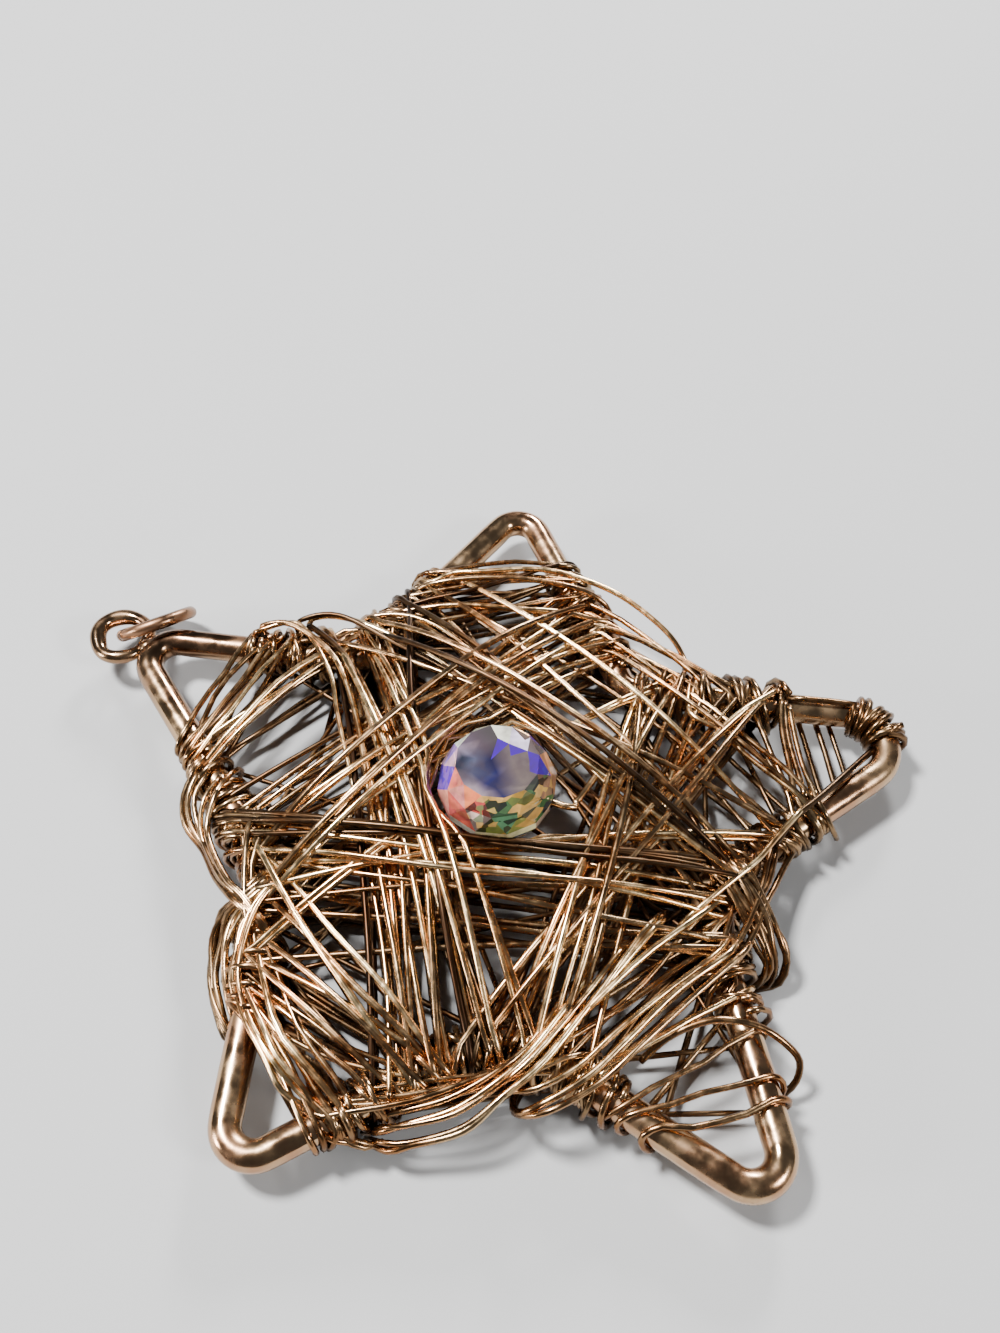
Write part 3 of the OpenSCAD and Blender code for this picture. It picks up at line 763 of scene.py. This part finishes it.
def beside(p):
    """The nearest point to p on the star's middle line, and the way out of the star there."""
    feet = []
    for arm in range(len(CORNERS)):
        a, along = corner(arm), arm_dir(arm)
        foot = a + along * np.clip((p - a) @ along, 0.0, np.linalg.norm(corner(arm + 1) - a))
        out = turned(along)
        feet.append((foot, out if out @ (foot - GEM_AT[:2]) > 0 else -out))
    return min(feet, key=lambda row: np.linalg.norm(p - row[0]))


def tuck(end):
    """Points that bend the end of a loose wire down round its arm, if it is on top, and under it."""
    if end[2] < 3.5:
        return []
    foot, out = beside(end[:2])
    return [np.array([*(foot + out * far), FRAME_Z + up])
            for far, up in ((0.8, 0.9), (1.2, 0.1), (0.9, -0.9), (0.1, -1.2))]


def tucked(points):
    points = [np.array(p) for p in points]
    return tuck(points[0])[::-1] + points + tuck(points[-1])


def fan_wires(rng):
    """The wires of every fan, each with its finish."""
    wires = []
    for outer, inner, count, shade in FANS:
        outer, inner = np.array(outer), np.array(inner)
        for k in range(count):
            ends = [min(max((k + rng.uniform(-stray, stray)) / (count - 1), 0), 1) for stray in (0.4, 1.8)]
            part = np.linspace(*ends, len(outer))[:, None]
            sway = np.array([[rng.uniform(-0.15, 0.15) for _ in range(3)] for _ in outer])
            wires.append((outer + (inner - outer) * part + sway, shade * rng.uniform(0.4, 1.3)))
    return wires


def wound_round(line, turns, r, wobble, rng, slant=0.0, stray=0.04):
    """A helix round a length of the star's wire, uneven as a hand winds it. It starts on top.
    Its turns lean by up to slant either way, and stray along the wire by a part of its length, so
    that they cross."""
    far = np.concatenate([[0], np.cumsum(np.linalg.norm(np.diff(line, axis=0), axis=1))])
    k = np.arange(int(turns * TURN_STEPS) + 1)
    s = k / k[-1]
    drift, lean = any_phase(rng), any_phase(rng)
    astray = stray * np.sin(turns * 1.9 * s + drift) * np.minimum(1.0, 8 * s * (1 - s))
    d = far[-1] * np.clip(s + astray, 0.0, 1.0)
    x, y, tx, ty = (np.interp(d, far, row) for row in (*line.T, *tangents(line, False).T))
    size = np.hypot(tx, ty)
    a = math.pi / 2 + 2 * math.pi * k / TURN_STEPS
    out = r + wobble * np.sin(a * 0.61 + lean)
    tilt = slant * np.sin(a * 0.23 + drift) * np.cos(a + lean)
    across = out * np.cos(a) / size
    return np.stack([x - ty * across + tx * tilt, y + tx * across + ty * tilt,
                     FRAME_Z + out * np.sin(a)], axis=1)


def close_winding(net, row, rng):
    """Close turns round one arm, from row's first turn to its last."""
    arm, first, last, turns, layer, _ = row
    a, b = turn_place(arm, first), turn_place(arm, last)
    line = a + (b - a) * np.linspace(0, 1, 25)[:, None]
    r = min(net.first_r + layer, net.most_r - 0.08)
    return wound_round(line, turns, r, 0.08, rng, slant=0.3 + 0.5 * layer, stray=0.1)


def tip_coil(net, rng):
    """The close, uneven coil round the right tip, which ends in a cut end that hooks out."""
    points, _ = star_line(spacing=0.1)
    start, finish = turn_place(3, 16.2), bend(4)[8]
    i, j = (int(np.argmin(np.linalg.norm(points - p, axis=1))) for p in (start, finish))
    coil = wound_round(points[i:j + 1], 8, net.first_r + 0.06, 0.05, rng, slant=0.2)
    reach = turn_place(3, 11.0)
    top = FRAME_Z + net.first_r
    lead = [[*(reach + (start - reach) * f), top + 0.1 * math.sin(math.pi * f)]
            for f in (0.0, 0.3, 0.6, 0.85)]
    hook = [coil[-1] + step for step in ((0.3, 0.35, 0.1), (0.75, 0.45, 0.2))]
    return np.array([*lead, *coil, *hook])


class PENDANT_OT_wire_wrap(Operator):
    """Wind the net of fine wire over the front and back of the star"""

    bl_idname = "pendant.wire_wrap"
    bl_label = "Wire wrap"

    def execute(self, context):
        s = context.scene.pendant_net
        rng = random.Random(s.seed)
        wire = s.wire / MM
        net = Net(wire, rng)
        wires = bundle_wires(rng)
        deep = len(wires)
        paths = wind(wires + top_wires(), net, rng)
        material = net_metal(s)

        def lay(name, group, *solids):
            stock = Stock()
            for path, shade in group:
                thick = wire / 2 * rng.uniform(0.8, 1.05)
                # Painted shade: each wire's finish is darkened the deeper it lies in the net.
                stock.wire(path, thick, sides=8, shade=shade * rubbed(path))
            make_piece(name, stock, material, "wrap_metal", *solids)

        lay("wound_wire", paths[:deep], "wire_wrap")
        windings = [(close_winding(net, row, rng), row[5]) for row in WINDINGS]
        loose = [(smooth_path(tucked(points), step=0.4), shade) for points, shade in LOOSE]
        fans = [(smooth_path(points, step=0.5), shade) for points, shade in fan_wires(rng)]
        coil = [(tip_coil(net, rng), 0.22)]
        lay("top_wire", paths[deep:] + windings + loose + fans + coil)
        return {"FINISHED"}


def net_metal(s):
    """The fine wire's finish, from bright champagne to copper and brown by each point's shade: the wire's
    own finish, darkened by painted shade deeper in the net.
    """
    f = Finish("fine_wire")
    shade = f.shade()
    tone = f.ramp(shade, [(0.0, tuple(s.tarnish_and_shade)), (0.12, shaded(s.copper, 0.35)),
                          (0.45, shaded(s.copper, 0.9)), (0.8, tuple(s.bright))])
    patches = f.spread(f.noise(300.0, 3.0, 0.6), 0.42, 0.62, 0.0, 1.0)
    redder = f.mix(patches, tone, (0.82, 0.60, 0.46), "MULTIPLY")
    specks = f.spread(f.noise(3200.0, 2.0, 0.7), 0.60, 0.75, 0.0, 0.6)
    f.paint("Base Color", f.mix(specks, redder, tuple(s.tarnish_and_shade)))
    dull = f.spread(shade, 0.0, 0.3, 0.45, 0.0)
    rubbed_rough = f.spread(f.noise(1500.0, 2.0), 0.35, 0.65, 0.14, 0.30)
    f.paint("Roughness", f.mix(dull, rubbed_rough, (0.45, 0.45, 0.45)))
    f.metal(f.noise(2400.0, 2.0), strength=0.22, depth=0.00002)
    return f.material


# The crystal and its wire


# Painted colours of the crystal's coating, with painted reflections and highlights, by the way
# that a facet faces, from the right round by the far side: two for the row under the table, two
# for the row above the girdle, and one for the girdle, whose cream is a painted rim of light
CROWN_COAT_AND_REFLECTIONS = [
    (0, (0.06, 0.01, 0.4), (0.62, 0.26, 0.12), (0.16, 0.1, 0.08), (0.6, 0.3, 0.14), (0.3, 0.2, 0.14)),
    (30, (0.14, 0.1, 0.09), (0.06, 0.01, 0.4), (0.5, 0.26, 0.12), (0.12, 0.08, 0.07), (0.2, 0.14, 0.12)),
    (90, (0.7, 0.72, 0.52), (0.16, 0.1, 0.16), (0.12, 0.09, 0.1), (0.4, 0.34, 0.4), (0.2, 0.16, 0.16)),
    (150, (0.62, 0.76, 0.66), (0.24, 0.14, 0.5), (0.5, 0.46, 0.42), (0.28, 0.18, 0.36), (0.3, 0.24, 0.26)),
    (180, (0.42, 0.24, 0.34), (0.08, 0.02, 0.36), (0.46, 0.26, 0.3), (0.07, 0.02, 0.38), (0.24, 0.14, 0.3)),
    (210, (0.66, 0.12, 0.09), (0.6, 0.2, 0.18), (0.7, 0.26, 0.2), (0.52, 0.08, 0.07), (0.5, 0.16, 0.14)),
    (240, (0.72, 0.17, 0.07), (0.48, 0.06, 0.05), (0.62, 0.1, 0.06), (0.86, 0.6, 0.5), (0.66, 0.62, 0.5)),
    (262, (0.1, 0.12, 0.04), (0.3, 0.26, 0.04), (0.2, 0.24, 0.05), (0.44, 0.46, 0.22), (0.7, 0.66, 0.36)),
    (285, (0.52, 0.3, 0.05), (0.03, 0.07, 0.03), (0.3, 0.34, 0.08), (0.1, 0.24, 0.12), (0.7, 0.64, 0.34)),
    (308, (0.04, 0.08, 0.04), (0.6, 0.36, 0.08), (0.07, 0.26, 0.1), (0.55, 0.54, 0.34), (0.7, 0.64, 0.34)),
    (335, (0.06, 0.07, 0.05), (0.3, 0.17, 0.1), (0.04, 0.05, 0.05), (0.34, 0.18, 0.11), (0.3, 0.22, 0.16)),
]
# Painted reflections and highlights seen through the table: where each lies from its middle, in
# millimetres, and its colour
TABLE_REFLECTIONS = [
    (-1.9, 0.8, (0.22, 0.17, 0.23)),
    (-1.1, 1.3, (0.12, 0.09, 0.1)),
    (-1.6, 1.5, (0.86, 1, 0.86)),
    (-0.3, 1.8, (0.09, 0.08, 0.07)),
    (0.6, 1.8, (1, 1, 0.82)),
    (0.7, 1, (0.06, 0.004, 0.4)),
    (1.1, 1.3, (0.9, 0.78, 1)),
    (1.5, 1.6, (0.14, 0.1, 0.08)),
    (-0.7, 0.3, (0.01, 0.01, 0.045)),
    (-1.4, -0.2, (0.08, 0.085, 0.14)),
    (-1.9, -0.3, (0.02, 0.028, 0.042)),
    (-0.2, -0.6, (0.02, 0.02, 0.075)),
    (0.1, 0, (0.045, 0.038, 0.07)),
    (-0.4, -1.2, (0.024, 0.024, 0.085)),
    (0.3, -1.6, (0.022, 0.022, 0.07)),
    (-1.2, -1.4, (0.26, 0.2, 0.23)),
    (1, -0.4, (0.19, 0.145, 0.125)),
    (1.7, -1.2, (0.21, 0.165, 0.135)),
    (1.3, 0.3, (0.2, 0.155, 0.14)),
    (0.9, -1.4, (0.15, 0.12, 0.1)),
    (2.1, 0.1, (0.06, 0.004, 0.38)),
]


def reflection_at(rows, spot):
    """The row of TABLE_REFLECTIONS that lies nearest to a spot on the table."""
    return min(rows, key=lambda row: math.dist(row[:2], spot[:2]))


class PENDANT_OT_crystal(Operator):
    """Cut the drilled crystal and paint its facets with the coating's colours and reflections"""

    bl_idname = "pendant.crystal"
    bl_label = "Crystal"

    def execute(self, context):
        s = context.scene.pendant_crystal
        blank = self.cut(s)
        drilled = self.drill(context, blank, s)
        self.facet_the_table(drilled)
        self.coat_and_reflections(drilled)
        drilled.materials.append(crystal_coat_and_reflections())
        hand_over(placed("crystal_bead", drilled), "crystal_glass", "crystal")
        return {"FINISHED"}

    def cut(self, s):
        """The bead before it is drilled: two tables and two rows of facets each side of the girdle."""
        n = s.facets
        table, shoulder = s.table / MM, GEM_WIDTH * 0.88
        rings = [(table, 1.0, 0.0), (shoulder, 0.58, 0.5), (GEM_WIDTH, 0.12, 0.0),
                 (GEM_WIDTH, -0.12, 0.0), (shoulder, -0.58, 0.5), (table, -1.0, 0.0)]
        points, faces = [], []
        for width, height, half in rings:
            a = 2 * math.pi * (np.arange(n) + half) / n + math.radians(GEM_TURN)
            points.append(round_path(GEM_AT + UP * GEM_HALF * height, RIGHT, FAR, width / 2, a))
        for k in range(n):
            m = (k + 1) % n
            faces += [[k, n + k, m], [n + k, n + m, m]]
            faces += [[n + k, 2 * n + m, n + m], [n + k, 2 * n + k, 2 * n + m]]
            faces += [[2 * n + k, 3 * n + k, 3 * n + m, 2 * n + m]]
            faces += [[3 * n + k, 4 * n + k, 3 * n + m], [4 * n + k, 4 * n + m, 3 * n + m]]
            faces += [[4 * n + k, 5 * n + m, 4 * n + m], [4 * n + k, 5 * n + k, 5 * n + m]]
        faces.append(list(range(n)))
        faces.append(list(range(5 * n, 6 * n))[::-1])
        mesh = bpy.data.meshes.new("crystal_blank")
        mesh.from_pydata(np.concatenate(points) * MM, [], faces)
        return mesh

    def drill(self, context, blank, s):
        """Bores the blank from side to side."""
        reach = flat_way(math.radians(GEM_TURN)) * 5.0
        points, faces = draw_wire([GEM_AT - reach, GEM_AT + reach], s.drill / MM / 2, sides=24)
        bit = bpy.data.meshes.new("drill_bit")
        bit.from_pydata(points * MM, [], faces)
        bead, tool = placed("crystal_blank", blank), placed("drill_bit", bit)
        for o in (bead, tool):
            fix = bmesh.new()
            fix.from_mesh(o.data)
            bmesh.ops.recalc_face_normals(fix, faces=fix.faces)
            fix.to_mesh(o.data)
            fix.free()
        cut = bead.modifiers.new("bore", "BOOLEAN")
        cut.operation, cut.object, cut.solver = "DIFFERENCE", tool, "EXACT"
        context.view_layer.update()
        mesh = bpy.data.meshes.new_from_object(bead.evaluated_get(context.evaluated_depsgraph_get()))
        for o in (bead, tool):
            bpy.data.objects.remove(o)
        if len(mesh.polygons) <= len(blank.polygons):
            raise RuntimeError("the crystal's hole wasn't cut")
        mesh.name = "crystal_bead"
        return mesh

    def facet_the_table(self, mesh):
        """Splits each flat table into uneven wedges, so that each can carry its own painted reflection."""
        rng = random.Random(5)
        count, reach, gap = 20, 2.0, 0.55
        b = bmesh.new()
        b.from_mesh(mesh)
        for table in [f for f in b.faces if abs(f.normal.z) > 0.99]:
            rim = list(table.verts)
            z = rim[0].co.z
            up = table.normal.z > 0
            spots = []
            while len(spots) < count:
                r, a = reach * math.sqrt(rng.random()), rng.uniform(0, 2 * math.pi)
                p = Vector((GEM_AT[0] + r * math.cos(a), GEM_AT[1] + r * math.sin(a))) * MM
                if all((p - q).length > gap * MM for q in spots):
                    spots.append(p)
            flat = [v.co.xy for v in rim] + spots
            edge = [(k, (k + 1) % len(rim)) for k in range(len(rim))]
            _, _, wedges, _, _, _ = delaunay_2d_cdt(flat, edge, [], 1, 1e-9)
            b.faces.remove(table)
            verts = rim + [b.verts.new((p.x, p.y, z)) for p in spots]
            for wedge in wedges:
                made = b.faces.new([verts[k] for k in wedge])
                made.normal_update()
                if (made.normal.z > 0) != up:
                    made.normal_flip()
        b.to_mesh(mesh)
        b.free()

    def coat_and_reflections(self, mesh):
        """Gives each facet the coating's colour with painted reflections and highlights, and how broken it
        looks.

        The table's bright painted reflections are crisp, and its dull ones run into each other."""
        coat_and_reflections = mesh.attributes.new("coat_and_reflections", "FLOAT_COLOR", "CORNER")
        dull = [row for row in TABLE_REFLECTIONS if max(row[2]) < 0.3]
        for face in mesh.polygons:
            arm = np.array(face.center) / MM - GEM_AT
            angle = math.degrees(math.atan2(arm[1], arm[0])) % 360
            height = abs(arm[2]) / GEM_HALF
            near_side = 238 < angle < 345
            broken, strength, soft = 0.0, 0.7, False
            if abs(face.normal.z) > 0.99:
                row = reflection_at(TABLE_REFLECTIONS, arm)
                colour, soft = row[2], row in dull
                strength = 0.55 if soft else 0.8
            elif face.normal.dot(Vector(arm)) < 0:
                colour = (0.30, 0.26, 0.34)
            else:
                row = min(CROWN_COAT_AND_REFLECTIONS, key=lambda row: abs((angle - row[0] + 180) % 360 - 180))
                odd = int(angle * 24 / 360 + 0.5) % 2
                girdle = height < 0.13
                colour = row[5] if girdle else row[(1 if height > 0.58 else 3) + odd]
                # The girdle's cream is painted brighter, a painted rim of light shining through the crystal.
                strength = 1.7 if girdle else 0.9
                broken = 1.0 if near_side and not girdle else 0.12
            for k in face.loop_indices:
                if soft:
                    spot = np.array(mesh.vertices[mesh.loops[k].vertex_index].co) / MM - GEM_AT
                    colour = reflection_at(dull, spot)[2]
                coat_and_reflections.data[k].color = (*shaded(colour, strength), broken)


def crystal_coat_and_reflections():
    """Cut glass with a rainbow coating: each facet its own painted colour, broken by painted reflections
    inside.
    """
    f = Finish("crystal_coat_and_reflections")
    coat_and_reflections = f.node("ShaderNodeAttribute", attribute_name="coat_and_reflections")
    slivers = f.node("ShaderNodeMapping", vector_type="TEXTURE")
    dial(slivers, {"Rotation": (0.0, 0.0, math.radians(32)), "Scale": (2.2, 0.8, 1.0)})
    f.join(f.place, slivers.inputs["Vector"])
    cells = []
    for scale, smoothness in ((800.0, 0.8), (2500.0, 0.12)):
        inside = f.node("ShaderNodeTexVoronoi", feature="SMOOTH_F1")
        dial(inside, {"Scale": scale, "Smoothness": smoothness})
        f.join(slivers.outputs["Vector"], inside.inputs["Vector"])
        split = f.node("ShaderNodeSeparateColor")
        f.join(inside.outputs["Color"], split.inputs["Color"])
        cells.append(split.outputs)
    large, small = cells
    # Painted reflections inside: large cells darken the facets' colours.
    darker = f.mix(f.spread(large["Red"], 0.45, 0.55, 0.0, 0.45), coat_and_reflections.outputs["Color"],
                   (0.015, 0.012, 0.022))
    broken = darker
    # Small cells on the near-side facets: painted dark reflections, and green and gold painted glints.
    for value, low, high, most, tint in (
        (small["Blue"], 0.56, 0.64, 0.85, (0.010, 0.012, 0.010)),
        (small["Red"], 0.66, 0.72, 0.8, (0.06, 0.15, 0.05)),
        (small["Green"], 0.66, 0.74, 0.85, (0.66, 0.38, 0.10)),
    ):
        broken = f.mix(f.spread(value, low, high, 0.0, most), broken, tint)
    colour = f.mix(coat_and_reflections.outputs["Alpha"], darker, broken)
    clouds = f.spread(f.noise(1400.0, 2.0), 0.4, 0.7, 0.0, 0.5)
    f.paint("Base Color", f.mix(clouds, colour, (0.035, 0.025, 0.030)))
    f.paint("Roughness", f.spread(f.noise(700.0, 2.0), 0.3, 0.7, 0.02, 0.08))
    dial(f.shader, {"IOR": 1.55, "Specular IOR Level": 0.12, "Coat Weight": 0.1,
                    "Coat Roughness": 0.02})
    return f.material


class PENDANT_OT_bead_wire(Operator):
    """Thread the crystal's wire through it and bend its ends into the net"""

    bl_idname = "pendant.bead_wire"
    bl_label = "Bead wire"

    def execute(self, context):
        s = context.scene.pendant_net
        reach = flat_way(math.radians(GEM_TURN)) * 3.7
        path = smooth_path([
            (-5.4, -1.9, 4.0), (-4.5, -0.8, 4.5), (-3.5, 0.2, 4.9), GEM_AT - reach, GEM_AT + reach,
            (5.0, -1.7, 5.1), (5.6, -0.9, 5.1), (6.4, 0.2, 5.1), (7.6, 1.4, 5.0),
        ], step=0.25)
        stock = Stock()
        stock.wire(path, s.wire / MM / 2, sides=12, shade=0.6)
        material = plated_metal("threaded_wire", s.copper, s.copper, s.tarnish_and_shade,
                                rough_low=0.15, rough_high=0.3, dents=0.1)
        make_piece("crystal_wire", stock, material, "thread_metal", "bead_wire")
        return {"FINISHED"}


# The stage


class PENDANT_OT_stage(Operator):
    """Lay the floor, and set the lights and the camera"""

    bl_idname = "pendant.stage"
    bl_label = "Stage"

    def execute(self, context):
        s = context.scene.pendant_stage
        self.lay_floor(s)
        self.hang_lights(context)
        self.set_camera(context)
        return {"FINISHED"}

    def lay_floor(self, s):
        half, z = 1.2, float(CAD_BOX[0][2])
        mesh = bpy.data.meshes.new("floor")
        mesh.from_pydata([(-half, -half, z), (half, -half, z), (half, half, z), (-half, half, z)], [],
                         [(0, 1, 2, 3)])
        f = Finish("pale_floor")
        patches = f.spread(f.noise(90.0, 2.0), 0.3, 0.7, 0.0, 0.04)
        f.paint("Base Color", f.mix(patches, tuple(s.floor), (0.28, 0.28, 0.28)))
        dial(f.shader, {"Roughness": 0.75})
        mesh.materials.append(f.material)
        placed("floor", mesh)

    def hang_lights(self, context):
        target = Vector((0.001, 0.0, 0.002))
        for name, place, size, power in (
            ("key", (-0.20, 0.10, 0.42), 0.08, 8.0),
            ("fill", (0.30, -0.16, 0.26), 0.08, 1.5),
            ("rim", (0.12, 0.42, 0.22), 0.08, 3.6),
            ("side", (-0.38, -0.10, 0.12), 0.07, 1.4),
        ):
            data = bpy.data.lights.new(name, "AREA")
            data.shape = "SQUARE"
            data.size, data.energy = size, power
            lamp = placed(name, data)
            lamp.location = place
            lamp.rotation_euler = (target - Vector(place)).to_track_quat("-Z", "Y").to_euler()
        world = bpy.data.worlds.new("studio")
        world.use_nodes = True
        dial(world.node_tree.nodes["Background"], {"Color": (0.9, 0.93, 1.0, 1.0), "Strength": 0.10})
        context.scene.world = world

    def set_camera(self, context):
        elevation, distance = math.radians(55.28), 0.07444
        target = Vector((0.00099, 0.00901, FRAME_Z * MM))
        back = Vector((0.0, -math.cos(elevation), math.sin(elevation)))
        data = bpy.data.cameras.new("photo_view")
        data.sensor_width = 36.0
        data.lens = 33.76
        data.clip_start, data.clip_end = 0.002, 10.0
        camera = placed("photo_view", data)
        camera.location = target + back * distance
        camera.rotation_mode = "QUATERNION"
        camera.rotation_quaternion = (-back).to_track_quat("-Z", "Y")
        context.scene.camera = camera


class PENDANT_PT_panel(Panel):
    """Lists the pendant's steps and sizes"""

    bl_idname = "PENDANT_PT_panel"
    bl_label = "Star pendant"
    bl_space_type = "VIEW_3D"
    bl_region_type = "UI"
    bl_category = "Pendant"

    def draw(self, context):
        scene = context.scene
        for step in STEPS:
            self.layout.operator(step.bl_idname)
        for settings in (scene.pendant_frame, scene.pendant_net, scene.pendant_crystal,
                         scene.pendant_stage):
            rows = self.layout.box()
            for name in settings.bl_rna.properties.keys():
                if name not in ("rna_type", "name"):
                    rows.prop(settings, name)


STEPS = (
    PENDANT_OT_star_frame,
    PENDANT_OT_jump_ring,
    PENDANT_OT_wire_wrap,
    PENDANT_OT_crystal,
    PENDANT_OT_bead_wire,
    PENDANT_OT_stage,
)
SETTINGS = {
    "pendant_frame": PendantFrameSettings,
    "pendant_net": PendantNetSettings,
    "pendant_crystal": PendantCrystalSettings,
    "pendant_stage": PendantStageSettings,
}


def register():
    for group in SETTINGS.values():
        bpy.utils.register_class(group)
    for name, group in SETTINGS.items():
        setattr(bpy.types.Scene, name, PointerProperty(type=group))
    for step in STEPS:
        bpy.utils.register_class(step)
    bpy.utils.register_class(PENDANT_PT_panel)


def unregister():
    bpy.utils.unregister_class(PENDANT_PT_panel)
    for step in reversed(STEPS):
        bpy.utils.unregister_class(step)
    for name, group in SETTINGS.items():
        delattr(bpy.types.Scene, name)
        bpy.utils.unregister_class(group)


def main():
    register()
    bpy.ops.pendant.star_frame()
    bpy.ops.pendant.jump_ring()
    bpy.ops.pendant.wire_wrap()
    bpy.ops.pendant.crystal()
    bpy.ops.pendant.bead_wire()
    bpy.ops.pendant.stage()


if __name__ == "__main__":
    main()
